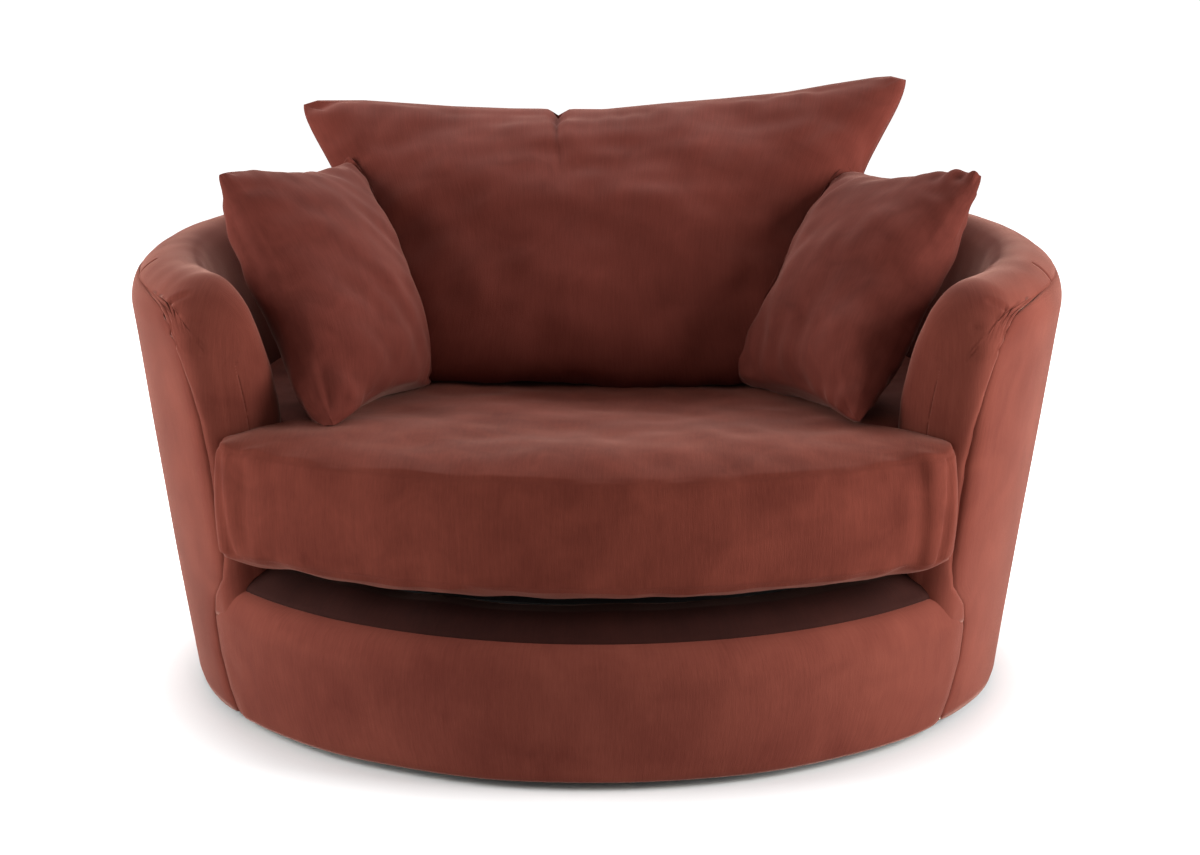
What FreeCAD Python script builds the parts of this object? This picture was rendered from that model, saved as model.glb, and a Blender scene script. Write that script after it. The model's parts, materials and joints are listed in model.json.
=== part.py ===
import FreeCAD, Part
import math
import os

# Swivel cuddle chair: a round padded tub on a hidden turntable, one large seat cushion,
# one back cushion and two scatter cushions. Lengths in mm, angles in degrees.
# The origin is on the floor under the swivel axis, +Z is up and the sitter faces -Y.
# An azimuth is counted from the front (-Y), positive towards +X.

Vec = FreeCAD.Vector

# Clearances
fit = 0.3                   # between neighbouring pieces that are fixed to each other
rest_gap = 0.3              # between a loose cushion and what it rests on
filling_gap = 0.6           # between a cushion's cover and its filling
ground_gap = 12.0           # lower edge of the tub above the floor
beyond = 30.0               # how far a cutting block reaches past what it cuts

# Padded wall of the tub
wall_foot_radius = 571.0    # outer face at its lower edge
wall_slope = 0.147          # outward lean of the outer face
ridge_height = 612.0        # top of the rolled edge
roll_outer_radius = 62.0    # outer shoulder of the rolled edge
roll_inner_radius = 40.0    # inner shoulder of the rolled edge
roll_inner_centre = 586.0   # radius of the circle on which the inner shoulder is centred
well_radius = 506.0         # upright lower part of the inner face
well_straight_top = 380.0   # height where the inner face starts to lean out
arm_azimuth = 51.5          # front faces of the arms
arm_rounding = 35.0         # padded edge round each arm's front face
arm_top_rounding = 90.0     # the arm's top where it turns down to its front
arm_radius = 590.0          # middle of the arm, on which lengths along it are measured
arm_seam_azimuth = 54.3     # seam between the outside panel and the arm's front
panel_azimuth = 58.0        # front face of the plywood arm panel
arm_pad_azimuth = 45.0      # ahead of the arms' front faces
wall_reach = 220.0          # more than the wall's thickness, for cutting blocks

# Thicknesses
cover = 2.5                 # upholstery cloth with its backing
wadding = 12.0
board = 3.0                 # bent fibreboard
plywood = 18.0
post_depth = 30.0
post_width = 45.0
post_count = 9
post_sagitta = 1.0          # room for the boards' curve at a post's flat faces
post_margin = 12.0          # degrees from an arm panel to the nearest post
top_ring_depth = 63.0       # underside of the top ring below the ridge

# Base of the body
ring_thickness = 22.0
ring_gap = 2.0              # room for the dust cover below the lower ring
dust_margin = 10.0          # how far the dust cover runs past the lower ring
lower_ring_inner = 445.0
seat_ring_top = 206.0
seat_ring_inner = 470.0
deck_height = 227.0
leg_radius = 505.0
leg_depth = 40.0
leg_count = 8
rail_width = 45.0
rail_height = 60.0
rail_offset = 110.0
rail_reach = 515.0          # half of a long rail

# Front of the base
front_azimuth = 57.7        # side seams of the front panel
front_roll_start = 150.0    # height where the front leaves the wall's lean
front_seam_radius = 579.5   # seam between the front panel and the soft lip
front_seam_height = 197.0
lip_back_radius = 538.0
panel_top_skin = 0.8        # share of a skin's thickness that the seam draws in
panel_seam_skin = 0.6       # share of a skin's thickness that the seam drops

# Sinuous springs of the platform
wire = 3.6
spring_count = 7
spring_spacing = 110.0
spring_pitch = 34.0
spring_bar = 8.0            # half of the straight bar between two bends
spring_end_radius = 486.0
clip_length = 14.0
clip_depth = 22.0
clip_height = 6.0

# Turntable
board_radius = 430.0
board_thickness = 18.0
glide_height = 6.0
glide_radius = 20.0
glide_circle = 385.0
glide_count = 8
centre_foot_radius = 45.0
plate_thickness = 3.5
plate_bore = 60.0
plate_radius = 175.0
race_radius = 135.0
ball_radius = 4.5
ball_clearance = 0.2
ball_count = 24
cage_thickness = 3.0
cage_width = 16.0
bolt_radius = 3.0
bolt_clearance = 0.1
bolt_head_radius = 5.5
bolt_head_height = 3.0
bolt_grip = 14.0
lower_bolt_circle = 92.0
lower_bolt_count = 8

# Seat cushion
cushion_front = 590.0       # front edge ahead of the axis
cushion_front_arc = 770.0   # radius of the front edge in plan
cushion_half_width = 475.0  # ears in front of the arms
cushion_ear_round = 45.0
cushion_tail_round = 8.0    # behind each ear
cushion_wall_gap = 8.0      # between the cushion and the tub's inner face
cushion_arm_gap = 30.0      # ear ahead of the plane that holds the arm's front
ear_plane_azimuth = 54.0
ear_corner = (0.25, 0.42)   # middle of an ear's rounding, in parts of it
ear_side = 1.35             # where an ear's rounding ends, in parts of it
border_bottom = 267.0
border_height = 142.0
crown_front_height = 424.0  # seat surface near the front
crown_front_y = -350.0
crown_slope = 0.053         # fall of the seat surface towards the back
crown_centre_y = -80.0

# Back cushion, on a seam plane that leans back
back_centre_x = -12.0
back_seam_y = 12.0
back_seam_drop = 9.0        # its bottom seam below the seat cushion's top seam
back_lean = 41.0
back_height = 446.0
back_right_rise = 41.0      # the right top corner stands higher
back_top_width = 905.0
back_bottom_width = 800.0
back_front_swell = 135.0
back_rear_swell = 315.0
back_front_slump = 110.0
back_rear_rise = 100.0
back_side_draw = 0.12
back_top_draw = 0.02

# Scatter cushions: seam corners as x, y and height above the seat cushion's top seam
left_scatter = (
    (-513.0, -169.0, 320.0), (-374.0, 236.0, 280.0),
    (-233.0, -32.0, -5.0), (-329.0, -399.0, 15.0),
)
right_scatter = (
    (534.0, -80.0, 316.0), (361.0, 224.0, 268.0),
    (196.0, -32.0, 6.0), (358.0, -352.0, 15.0),
)
scatter_swell = 80.0
scatter_slump = 10.0
scatter_draw = 0.13
pillow_nose = 0.035         # how far a pillow's corners are cut off by their rounding
pillow_turn = 0.72          # where a pillow's side passes into its rounded corner


def polar(radius, azimuth, z=0.0):
    """Point at an azimuth counted from the front."""
    a = math.radians(azimuth)
    return Vec(radius * math.sin(a), -radius * math.cos(a), z)


def profile(start, *steps):
    """Closed face in the radius-height plane; a step is an end point, or a mid and an end point."""
    edges = []
    here = Vec(start[0], 0, start[1])
    for step in steps:
        points = [Vec(r, 0, z) for r, z in step]
        if len(points) == 1:
            edges.append(Part.makeLine(here, points[0]))
        else:
            edges.append(Part.Arc(here, points[0], points[1]).toShape())
        here = points[-1]
    edges.append(Part.makeLine(here, Vec(start[0], 0, start[1])))
    return Part.Face(Part.Wire(edges))


def turned(face, first=0.0, last=360.0):
    """Turn a radius-height face about the axis, between two azimuths."""
    body = face.copy()
    body.rotate(Vec(0, 0, 0), Vec(0, 0, 1), first - 90.0)
    return body.revolve(Vec(0, 0, 0), Vec(0, 0, 1), last - first)


def ring(inner, outer, z0, z1, first=0.0, last=360.0):
    return turned(profile((inner, z0), [(outer, z0)], [(outer, z1)], [(inner, z1)]), first, last)


def disc(radius, z0, z1):
    return Part.makeCylinder(radius, z1 - z0, Vec(0, 0, z0))


def largest(shape):
    """The largest solid of a cut."""
    return max(shape.Solids, key=lambda s: s.Volume)


def mirrored(shape):
    return shape.mirror(Vec(0, 0, 0), Vec(1, 0, 0))


def group(shapes):
    return Part.makeCompound([s for shape in shapes for s in shape.Solids])


def around(shape, count, first=0.0, span=360.0, closed=True):
    """Copies of a shape set at an azimuth of 0, turned to equal steps."""
    steps = count if closed else count - 1
    copies = []
    for i in range(count):
        copy = shape.copy()
        copy.rotate(Vec(0, 0, 0), Vec(0, 0, 1), first + span * i / steps)
        copies.append(copy)
    return copies


def save(shape, node):
    os.makedirs("parts", exist_ok=True)
    for solid in shape.Solids:
        if not solid.isValid():
            print("not valid:", node)
    shape.exportStep("parts/" + node + ".step")
    print(node, len(shape.Solids), round(shape.Volume / 1000.0, 1))


# Levels that follow from the sizes above
wall_back = cover + wadding + board + post_depth + fit + post_sagitta / 2
ring_bottom = ground_gap + ring_gap
ring_top = ring_bottom + ring_thickness
seat_ring_bottom = seat_ring_top - plywood
seat_level = border_bottom + border_height
board_top = glide_height + board_thickness
top_ring_bottom = ridge_height - top_ring_depth
top_ring_top = top_ring_bottom + plywood
board_angle = math.degrees((plywood + 3 * fit) / well_radius)
frame_azimuth = panel_azimuth + board_angle
back_azimuth = 360.0 - frame_azimuth


def cone(z, inset=0.0):
    """Radius of the tub's leaning outer face, less a horizontal inset."""
    return wall_foot_radius + wall_slope * (z - ground_gap) - inset


lower_ring_outer = cone(ring_bottom, cover + wadding + board + 3 * fit)
seat_ring_outer = cone(seat_ring_bottom, wall_back + fit)


def tub_face(skin, foot, step, drop=0.0):
    """Section of the padded wall, a skin's thickness inside the cloth; the rolled edge may drop."""
    lean = math.atan(wall_slope)
    r_out = roll_outer_radius - skin
    z_out = ridge_height - roll_outer_radius - drop
    c_out = cone(z_out) - roll_outer_radius / math.cos(lean)
    touch = (c_out + r_out * math.cos(lean), z_out - r_out * math.sin(lean))
    half = (math.pi / 2 - lean) / 2
    out_mid = (c_out + r_out * math.cos(half), z_out + r_out * math.sin(half))
    c_in = roll_inner_centre - wall_slope * drop
    z_in = ridge_height - roll_inner_radius - drop
    rise = z_in - well_straight_top
    reach = c_in - well_radius
    r_big = (reach ** 2 + rise ** 2 - roll_inner_radius ** 2) / (2 * (reach - roll_inner_radius))
    c_big = well_radius + r_big
    turn = math.atan2(rise, c_big - c_in)
    r_in = roll_inner_radius - skin
    in_end = (c_in - r_in * math.cos(turn), z_in + r_in * math.sin(turn))
    mid = (turn + math.pi / 2) / 2
    in_mid = (c_in - r_in * math.cos(mid), z_in + r_in * math.sin(mid))
    big = r_big - skin
    big_mid = (c_big - big * math.cos(turn / 2), well_straight_top + big * math.sin(turn / 2))
    return profile(
        (cone(foot, skin / math.cos(lean)), foot),
        [touch],
        [out_mid, (c_out, z_out + r_out)],
        [(c_in, z_in + r_in)],
        [in_mid, in_end],
        [big_mid, (well_radius + skin, well_straight_top)],
        [(well_radius + skin, step)],
        [(cone(step, wall_back), step)],
        [(cone(foot, wall_back), foot)],
    )


def front_outline(skin):
    """Front of the base above its leaning part: start, seam and back edge, with the arcs' middles."""
    start = Vec(cone(front_roll_start, skin), 0, front_roll_start)
    seam = Vec(front_seam_radius - skin * panel_top_skin, 0, front_seam_height - skin * panel_seam_skin)
    top = Vec(lip_back_radius, 0, deck_height - skin)
    arc = Part.Arc(start, seam, top)
    first, at_seam, last = arc.FirstParameter, arc.parameter(seam), arc.LastParameter
    low = arc.value((first + at_seam) / 2)
    high = arc.value((at_seam + last) / 2)
    return [(p.x, p.z) for p in (start, low, seam, high, top)]


def front_block(gap, azimuth=front_azimuth):
    """All the room that the base's front takes, with a gap round it."""
    start, low, seam, high, top = front_outline(-gap)
    inner = well_radius - 2 * beyond
    below = ground_gap - beyond
    face = profile((inner, below), [(cone(below, -gap), below)], [start], [low, seam], [high, top],
                   [(inner, top[1])])
    turn = azimuth + math.degrees(gap / arm_radius)
    return turned(face, -turn, turn)


def rounding(depth, radius):
    """How far a rounded edge has drawn in, at a depth behind the front of the rounding."""
    short = max(0.0, 1.0 - depth / radius)
    return radius * (1.0 - math.sqrt(1.0 - short * short))


def arm_end(skin, foot, step):
    """Soft front end of the right arm, lofted through sections that draw in and drop."""
    sections = []
    side = arm_rounding - skin
    top = arm_top_rounding - skin
    for share in (0.0, 0.017, 0.055, 0.12, 0.2, 0.3, 0.4, 0.56, 0.76, 1.0):
        depth = share * arm_top_rounding
        inset = skin + rounding(depth, side)
        face = tub_face(inset, foot, step, rounding(depth, top) - rounding(depth, side))
        turn = arm_azimuth + math.degrees((skin + depth) / arm_radius) - 90.0
        face.rotate(Vec(0, 0, 0), Vec(0, 0, 1), turn)
        sections.append(face.OuterWire)
    return Part.makeLoft(sections, True, True), turn + 90.0


def tub_form(skin, foot=ground_gap, step=seat_ring_top + fit):
    """The whole padded wall with rounded arm ends, a skin's thickness inside the cloth."""
    end, first = arm_end(skin, foot, step)
    body = turned(tub_face(skin, foot, step), first, 360.0 - first)
    return largest(body.fuse([end, mirrored(end)]))


def outside_band(first):
    """Room of the outside panel: the leaning outer face below its top seam."""
    low = ground_gap - beyond
    top = ridge_height - roll_outer_radius
    face = profile(
        (cone(low, cover + fit), low),
        [(cone(low, -cover), low)],
        [(cone(top, -cover), top)],
        [(cone(top, cover + fit), top)],
    )
    return turned(face, first, 360.0 - first)


def wall_layer(outer, inner, z0, z1, first):
    """A layer of the wall that leans as the outer face does, between two insets."""
    face = profile(
        (cone(z0, outer), z0),
        [(cone(z1, outer), z1)],
        [(cone(z1, inner), z1)],
        [(cone(z0, inner), z0)],
    )
    return turned(face, first, 360.0 - first)


# Upholstery covers of the tub
tub_outer = tub_form(0.0)
tub_inner = tub_form(cover, ground_gap - beyond, seat_ring_top - beyond)
front_room = front_block(fit)
tub_shell = tub_outer.cut(tub_inner).cut(front_room)
outside_cover = largest(tub_shell.common(outside_band(arm_seam_azimuth)))
seam_slit = math.degrees(fit / cone(ridge_height))
inside_cover = largest(tub_shell.cut(outside_band(arm_seam_azimuth - seam_slit)))
save(outside_cover, "outside_cover")
save(inside_cover, "inside_cover")

# Padding of the tub
pad_form = tub_form(cover + fit)
pad_front = front_block(fit, panel_azimuth)
inside = well_radius - beyond
outside = inside + wall_reach
pad_end = panel_azimuth - math.degrees(fit / wall_foot_radius)
wedge = ring(inside, outside, ring_bottom, ridge_height, arm_pad_azimuth, pad_end)
arm_pad = largest(pad_form.common(wedge).cut(pad_front))
save(arm_pad, "arm_front_foam_right")
save(mirrored(arm_pad), "arm_front_foam_left")
outer_inset = cover + wadding
layer = wall_layer(outer_inset, -beyond, ring_bottom, top_ring_top, panel_azimuth)
save(largest(pad_form.common(layer)), "outer_wadding")
roll_room = ring(inside, outside, top_ring_top + fit, ridge_height + beyond,
                 panel_azimuth, 360.0 - panel_azimuth)
save(largest(pad_form.common(roll_room)), "top_roll_foam")
inner_room = wall_layer(wall_back + board + 2 * fit, wall_reach, seat_ring_top + fit, top_ring_top,
                        frame_azimuth)
save(largest(pad_form.common(inner_room)), "inner_wall_foam")


def tub_frame():
    """Boards, posts, top ring and arm panels inside the wall."""
    outer_board = wall_layer(outer_inset + fit, outer_inset + fit + board, ring_bottom, top_ring_top,
                             frame_azimuth)
    save(outer_board, "outer_wall_board")
    inner_board = wall_layer(wall_back + fit, wall_back + fit + board, seat_ring_top + fit,
                             top_ring_bottom - fit, frame_azimuth)
    save(inner_board, "inner_wall_board")
    outer = outer_inset + fit + board + post_sagitta
    top = profile(
        (cone(top_ring_bottom, outer), top_ring_bottom),
        [(cone(top_ring_bottom, outer), top_ring_top)],
        [(cone(top_ring_top, wall_back + board), top_ring_top)],
        [(cone(top_ring_bottom, wall_back + board), top_ring_bottom)],
    )
    save(turned(top, frame_azimuth, back_azimuth), "top_ring")
    foot = ring_top
    head = top_ring_bottom
    face = profile(
        (cone(foot, outer), foot),
        [(cone(head, outer), head)],
        [(cone(head, outer + post_depth - post_sagitta), head)],
        [(cone(foot, outer + post_depth - post_sagitta), foot)],
    )
    post = face.extrude(Vec(0, post_width, 0))
    post.translate(Vec(0, -post_width / 2, 0))
    post.rotate(Vec(0, 0, 0), Vec(0, 0, 1), -90.0)
    edge = frame_azimuth + post_margin
    save(group(around(post, post_count, edge, 360.0 - 2 * edge, closed=False)), "wall_posts")
    plate = tub_face(outer_inset + fit, ring_top, seat_ring_top + fit).extrude(Vec(0, plywood, 0))
    plate.rotate(Vec(0, 0, 0), Vec(0, 0, 1), panel_azimuth - 90.0)
    trim = ring(inside, outside, top_ring_top, ridge_height + beyond)
    plate = largest(plate.cut(trim).cut(front_room))
    save(plate, "arm_panel_right")
    save(mirrored(plate), "arm_panel_left")


def body_base():
    """Lower ring, turntable rails, seat ring with its legs and the dust cover."""
    lower = ring(lower_ring_inner, lower_ring_outer, ring_bottom, ring_top)
    save(lower, "lower_ring")
    save(ring(lower_ring_inner, lower_ring_outer + dust_margin, ground_gap, ring_bottom - fit), "dust_cover")
    seat_ring = ring(seat_ring_inner, seat_ring_outer, seat_ring_bottom, seat_ring_top)
    save(seat_ring, "seat_ring")
    leg = Part.makeBox(rail_width, leg_depth, seat_ring_bottom - ring_top,
                       Vec(-rail_width / 2, -leg_radius - leg_depth / 2, ring_top))
    save(group(around(leg, leg_count, 180.0 / leg_count)), "seat_ring_legs")
    half = rail_width / 2
    hole_depth = bolt_grip + fit
    corner_hole = Part.makeCylinder(bolt_radius + bolt_clearance, hole_depth, Vec(0, 0, ring_top))
    holes = [corner_hole.translated(Vec(x, y, 0)) for x, y in upper_bolt_places()]
    rail_corner = Vec(-rail_reach, rail_offset - half, ring_top)
    long_rail = Part.makeBox(2 * rail_reach, rail_width, rail_height, rail_corner)
    rails = [long_rail, long_rail.translated(Vec(0, -2 * rail_offset, 0))]
    save(group([rail.cut(holes) for rail in rails]), "long_rails")
    inner_reach = rail_offset - half
    outer_start = rail_offset + half
    pieces = []
    for x in (-rail_offset, rail_offset):
        runs = ((-rail_reach, -outer_start), (-inner_reach, inner_reach), (outer_start, rail_reach))
        for start, end in runs:
            corner = Vec(x - half, start, ring_top)
            pieces.append(Part.makeBox(rail_width, end - start, rail_height, corner))
    save(group([piece.cut(holes) for piece in pieces]), "cross_rails")


def upper_bolt_places():
    """Four bolts at the rails' crossings and four on the axes."""
    a = rail_offset
    return [(a, a), (-a, a), (-a, -a), (a, -a), (a, 0), (0, a), (-a, 0), (0, -a)]


def lower_bolt_places():
    places = []
    for i in range(lower_bolt_count):
        p = polar(lower_bolt_circle, 360.0 * (i + 0.5) / lower_bolt_count)
        places.append((p.x, p.y))
    return places


def turntable():
    """Floor board with its glides, two race plates, balls in a cage and the bolts."""
    upper_bottom = ring_top - plate_thickness
    lower_top = board_top + plate_thickness
    ball_z = (upper_bottom + lower_top) / 2
    groove = Part.makeTorus(race_radius, ball_radius + ball_clearance, Vec(0, 0, ball_z))
    bolt_hole = Part.makeCylinder(bolt_radius + bolt_clearance, ring_top + beyond, Vec(0, 0, 0))
    upper_holes = [bolt_hole.translated(Vec(x, y, 0)) for x, y in upper_bolt_places()]
    lower_holes = [bolt_hole.translated(Vec(x, y, 0)) for x, y in lower_bolt_places()]
    hole_depth = bolt_grip + fit
    hole_foot = Vec(0, 0, board_top - hole_depth)
    board_hole = Part.makeCylinder(bolt_radius + bolt_clearance, hole_depth, hole_foot)
    board_holes = [board_hole.translated(Vec(x, y, 0)) for x, y in lower_bolt_places()]
    save(disc(board_radius, glide_height, board_top).cut(board_holes), "base_board")
    glide = Part.makeCylinder(glide_radius, glide_height, Vec(0, -glide_circle, 0))
    save(group(around(glide, glide_count)), "floor_glides")
    save(disc(centre_foot_radius, 0.0, glide_height), "centre_foot")
    lower = ring(plate_bore, plate_radius, board_top, lower_top).cut(groove).cut(lower_holes)
    save(lower, "lower_race_plate")
    upper = ring(plate_bore, plate_radius, upper_bottom, ring_top).cut(groove).cut(upper_holes)
    save(upper, "upper_race_plate")
    ball = Part.makeSphere(ball_radius, Vec(0, -race_radius, ball_z))
    balls = around(ball, ball_count)
    save(group(balls), "bearing_balls")
    cage = ring(race_radius - cage_width / 2, race_radius + cage_width / 2,
                ball_z - cage_thickness / 2, ball_z + cage_thickness / 2)
    pocket_foot = Vec(0, -race_radius, ball_z - cage_thickness)
    pocket = Part.makeCylinder(ball_radius + ball_clearance, 2 * cage_thickness, pocket_foot)
    save(cage.cut(around(pocket, ball_count)), "ball_cage")
    shank = plate_thickness + bolt_grip
    low_bolt = Part.makeCylinder(bolt_radius, shank, Vec(0, 0, lower_top - shank)).fuse(
        Part.makeCylinder(bolt_head_radius, bolt_head_height, Vec(0, 0, lower_top)))
    save(group([low_bolt.translated(Vec(x, y, 0)) for x, y in lower_bolt_places()]), "lower_plate_bolts")
    high_bolt = Part.makeCylinder(bolt_radius, shank, Vec(0, 0, upper_bottom)).fuse(
        Part.makeCylinder(bolt_head_radius, bolt_head_height, Vec(0, 0, upper_bottom - bolt_head_height)))
    save(group([high_bolt.translated(Vec(x, y, 0)) for x, y in upper_bolt_places()]), "upper_plate_bolts")


def front_of_base():
    """Bent board, padding, front panel and the soft lip above it."""
    board_outer = lower_ring_outer + fit + board
    save(ring(lower_ring_outer + fit, board_outer, ring_bottom, seat_ring_top,
              -front_azimuth, front_azimuth), "front_board")
    skin = cover + fit
    start, low, seam, high, top = front_outline(skin)
    foam = profile(
        (board_outer + fit, ring_bottom),
        [(cone(ring_bottom, skin), ring_bottom)],
        [start],
        [low, seam],
        [high, top],
        [(well_radius, top[1])],
        [(well_radius, seat_ring_top + fit)],
        [(board_outer + fit, seat_ring_top + fit)],
    )
    save(turned(foam, -front_azimuth, front_azimuth), "front_foam")
    start, low, seam, high, top = front_outline(0.0)
    start_in, low_in, seam_in, high_in, top_in = front_outline(cover)
    panel = profile(
        (cone(ground_gap, cover), ground_gap),
        [(cone(ground_gap), ground_gap)],
        [start],
        [low, seam],
        [seam_in],
        [low_in, start_in],
    )
    save(turned(panel, -front_azimuth, front_azimuth), "front_panel_cover")
    lip = profile(
        seam,
        [high, top],
        [(well_radius, deck_height)],
        [(well_radius, top_in[1])],
        [top_in],
        [high_in, seam_in],
    )
    save(turned(lip, -front_azimuth, front_azimuth), "front_lip_cover")


def sinuous_path(x, z):
    """Straight bars across the spring joined by half turns, from the front clip to the back clip."""
    reach = math.sqrt(spring_end_radius ** 2 - x ** 2)
    count = round(2 * reach / spring_pitch)
    pitch = 2 * reach / count
    edges = []
    side = 1
    for i in range(count + 1):
        y = -reach + i * pitch
        edges.append(Part.makeLine(Vec(x - side * spring_bar, y, z), Vec(x + side * spring_bar, y, z)))
        if i < count:
            end = x + side * spring_bar
            edges.append(Part.Arc(Vec(end, y, z), Vec(end + side * pitch / 2, y + pitch / 2, z),
                                  Vec(end, y + pitch, z)).toShape())
        side = -side
    return Part.Wire(edges), reach


def platform():
    """Springs held by clips on the seat ring, a felt pad and the platform cloth."""
    z = seat_ring_top + fit + wire / 2
    springs = []
    clips = []
    corner = Vec(-clip_length / 2, -clip_depth / 2, seat_ring_top)
    block = Part.makeBox(clip_length, clip_depth, clip_height, corner)
    slot_width = wire + 2 * fit
    slot_corner = Vec(-clip_length / 2, -slot_width / 2, seat_ring_top)
    clip = block.cut(Part.makeBox(clip_length, slot_width, slot_width, slot_corner))
    for i in range(spring_count):
        x = (i - (spring_count - 1) / 2) * spring_spacing
        path, reach = sinuous_path(x, z)
        first = path.OrderedVertexes[0].Point
        section = Part.Wire(Part.makeCircle(wire / 2, first, Vec(1, 0, 0)))
        springs.append(path.makePipeShell([section], True, False))
        for y in (-reach, reach):
            clips.append(clip.translated(Vec(x, y, 0)))
    save(group(springs), "sinuous_springs")
    save(group(clips), "spring_clips")
    felt_bottom = seat_ring_top + clip_height + fit
    cloth_bottom = deck_height - cover
    save(disc(well_radius - cover, felt_bottom, cloth_bottom - fit), "platform_felt")
    save(disc(well_radius - fit, cloth_bottom, deck_height), "platform_cloth")


def rounded_corner(before, corner, after, radius):
    """Tangent points and middle of an arc that rounds a corner between two straight runs."""
    a = before.sub(corner).normalize()
    b = after.sub(corner).normalize()
    angle = a.getAngle(b) / 2
    reach = radius / math.tan(angle)
    centre = corner + (a + b).normalize() * (radius / math.sin(angle))
    middle = centre + (corner - centre).normalize() * radius
    return corner + a * reach, middle, corner + b * reach


def seat_outline(scale, height, tilt=0.0):
    """Plan of the seat cushion: curved front, an ear before each arm, and the round back."""
    centre_y = -cushion_front + cushion_front_arc
    well = well_radius - cushion_wall_gap
    x_ear = cushion_half_width
    a = math.radians(ear_plane_azimuth)
    along = Vec(math.sin(a), -math.cos(a), 0)
    ahead = Vec(-math.cos(a), -math.sin(a), 0)
    inner = ahead * cushion_arm_gap + along * math.sqrt(well ** 2 - cushion_arm_gap ** 2)
    outer = ahead * cushion_arm_gap + along * ((x_ear + cushion_arm_gap * math.cos(a)) / math.sin(a))
    round_x = x_ear - cushion_ear_round
    start = Vec(round_x, centre_y - math.sqrt(cushion_front_arc ** 2 - round_x ** 2), 0)
    corner = Vec(x_ear - cushion_ear_round * ear_corner[0], start.y + cushion_ear_round * ear_corner[1], 0)
    side = Vec(x_ear, start.y + cushion_ear_round * ear_side, 0)
    tail_1, tail_2, tail_3 = rounded_corner(side, outer, inner, cushion_tail_round)
    right = [("arc", start, corner, side), ("line", side, tail_1), ("arc", tail_1, tail_2, tail_3),
             ("line", tail_3, inner)]
    steps = [("arc", Vec(-start.x, start.y, 0), Vec(0, -cushion_front, 0), start)]
    steps += right
    bend = math.degrees(math.atan2(inner.x, -inner.y))
    steps.append(("arc", inner, polar(well, (bend + 180.0) / 2), Vec(0, well, 0)))
    steps.append(("arc", Vec(0, well, 0), polar(well, -(bend + 180.0) / 2), Vec(-inner.x, inner.y, 0)))
    for kind, *points in reversed(right):
        steps.append((kind, *[Vec(-p.x, p.y, 0) for p in reversed(points)]))
    middle = Vec(0, crown_centre_y, 0)

    def place(p):
        q = middle + (p - middle) * scale
        return Vec(q.x, q.y, height - tilt * (q.y - crown_front_y))

    edges = []
    for kind, *points in steps:
        points = [place(p) for p in points]
        if kind == "line":
            edges.append(Part.makeLine(points[0], points[1]))
        else:
            edges.append(Part.Arc(points[0], points[1], points[2]).toShape())
    return Part.Wire(edges)


def seat_form(skin):
    """Boxed cushion: domed bottom, bulging border and a top that sinks towards the back.

    Each level is a share of the full plan, its height and its tilt.
    """
    top_seam = seat_level
    shrink = skin / cushion_half_width
    levels = [
        (0.62, deck_height + rest_gap + skin, 0.0),
        (0.86, deck_height + 10.0 + skin, 0.0),
        (0.96, deck_height + 24.0 + skin * 0.7, 0.0),
        (0.992, border_bottom, 0.0),
        (1.0, border_bottom + border_height * 0.3, 0.0),
        (1.0, border_bottom + border_height * 0.7, 0.0),
        (0.992, top_seam - skin, 0.0),
        (0.955, top_seam + 9.0 - skin * 0.7, crown_slope * 0.25),
        (0.87, crown_front_height - 4.0 - skin, crown_slope * 0.6),
        (0.62, crown_front_height - skin, crown_slope),
    ]
    wires = [seat_outline(scale - shrink, height, tilt) for scale, height, tilt in levels]
    return Part.makeLoft(wires, True, True)


def pillow_point(t, h):
    """Point of the unit pillow's level curve (1-u2)(1-v2)=h2 on the ray v = t u."""
    if abs(t) < 1e-9:
        w = 1 - h * h
    else:
        b = 1 + t * t
        w = (b - math.sqrt(b * b - 4 * t * t * (1 - h * h))) / (2 * t * t)
    u = math.sqrt(max(w, 0.0))
    if abs(t) > 0.99:
        u *= 1 - pillow_nose * (1 - h)
    return u, t * u


def pillow_wire(h, away, place):
    """Closed outline of eight arcs at one level of a pillow."""
    quadrant = [pillow_point(t, h) for t in (-pillow_turn, 0.0, pillow_turn, 1.0)]
    points = []
    for k in range(4):
        for u, v in quadrant:
            for _ in range(k):
                u, v = -v, u
            points.append(place(u, v, away))
    edges = []
    for i in range(0, len(points), 2):
        edges.append(Part.Arc(points[i], points[i + 1], points[(i + 2) % len(points)]).toShape())
    return Part.Wire(edges)


def pillow(place):
    """Knife-edged pillow: ruled loft through its levels, from the rear crown to the front crown."""
    levels = [-0.99, -0.93, -0.82, -0.65, -0.45, -0.22, 0.0, 0.22, 0.45, 0.65, 0.82, 0.93, 0.99]
    return Part.makeLoft([pillow_wire(abs(h), h, place) for h in levels], True, True)


def back_form(skin):
    """Back cushion: wider at the top, right top corner higher, heavy at the foot."""
    lean = math.radians(back_lean)
    up = Vec(0, math.sin(lean), math.cos(lean))
    normal = Vec(0, -math.cos(lean), math.sin(lean))
    foot = Vec(back_centre_x, back_seam_y, seat_level - back_seam_drop)
    grow = (1 - 2.0 * skin / back_height) / (1 - pillow_nose)

    def place(u, v, away):
        du = u * (1 - back_side_draw * (1 - v * v))
        dv = v * (1 - back_top_draw * (1 - u * u))
        width = back_bottom_width + (back_top_width - back_bottom_width) * (dv + 1) / 2
        rise = back_right_rise * (du + 1) / 2 * (dv + 1) / 2
        along = back_height / 2 * (1 + grow * dv) + rise
        if away > 0:
            out = away * (back_front_swell - skin)
            along -= back_front_slump * away
        else:
            out = away * (back_rear_swell - skin)
            along -= back_rear_rise * away
        return foot + Vec(grow * du * width / 2, 0, 0) + up * along + normal * out

    return pillow(place)


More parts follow.
